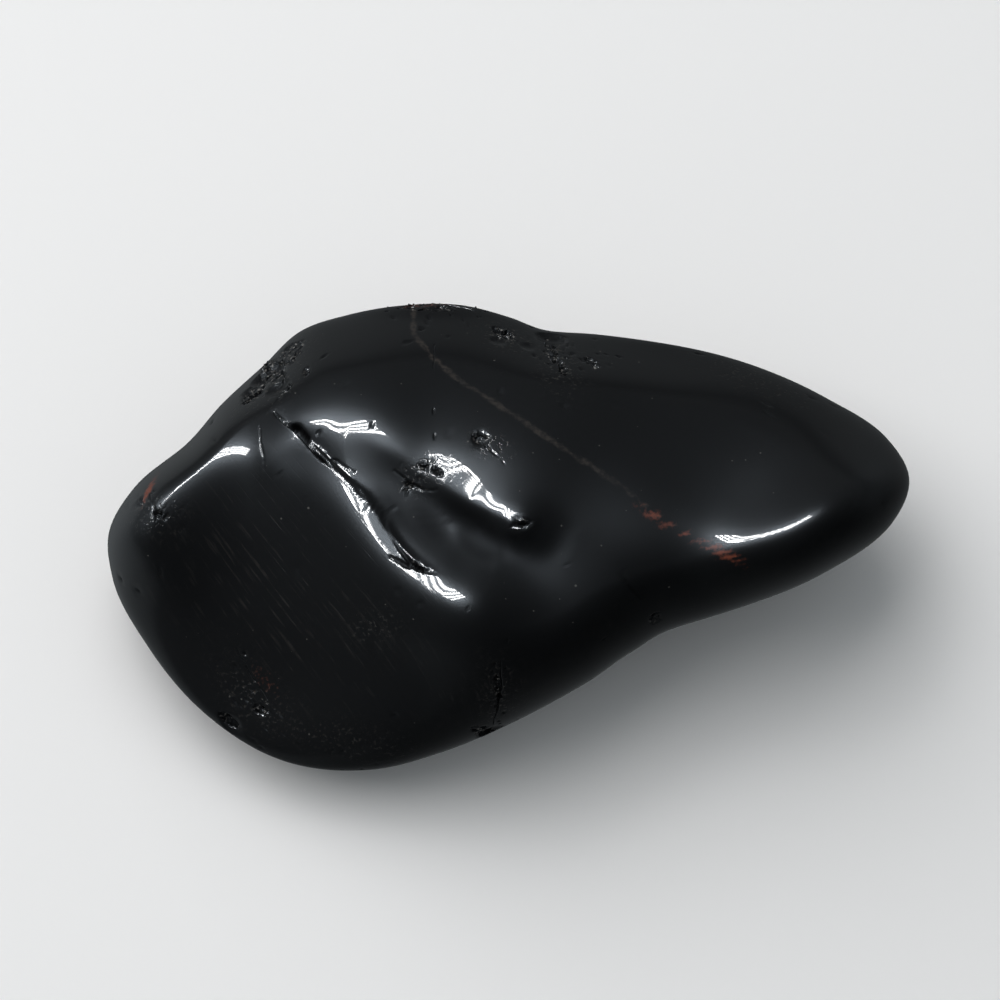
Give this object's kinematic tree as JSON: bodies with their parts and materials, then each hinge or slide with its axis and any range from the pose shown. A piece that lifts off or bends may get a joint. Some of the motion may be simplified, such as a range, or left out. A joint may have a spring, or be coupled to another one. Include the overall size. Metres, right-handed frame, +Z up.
{
  "type": "tumbled stone",
  "caption": "Tumbled black tourmaline pebble with a ridge, a cracked valley and a long smooth lobe, polished, lying on its flattest side.",
  "frame": {"origin": "middle of the pebble's outline, on the surface that it lies on", "axes": "+X along the pebble towards its long smooth lobe, +Z up out of the surface that it lies on, -Y towards the side with the broad rounded face"},
  "size_m": [0.0434, 0.0266, 0.0138],
  "materials": {
    "polished_schorl": "tumbled polish"
  },
  "bodies": {
    "root": {"tourmaline_pebble": "polished_schorl"}
  },
  "joints": []
}
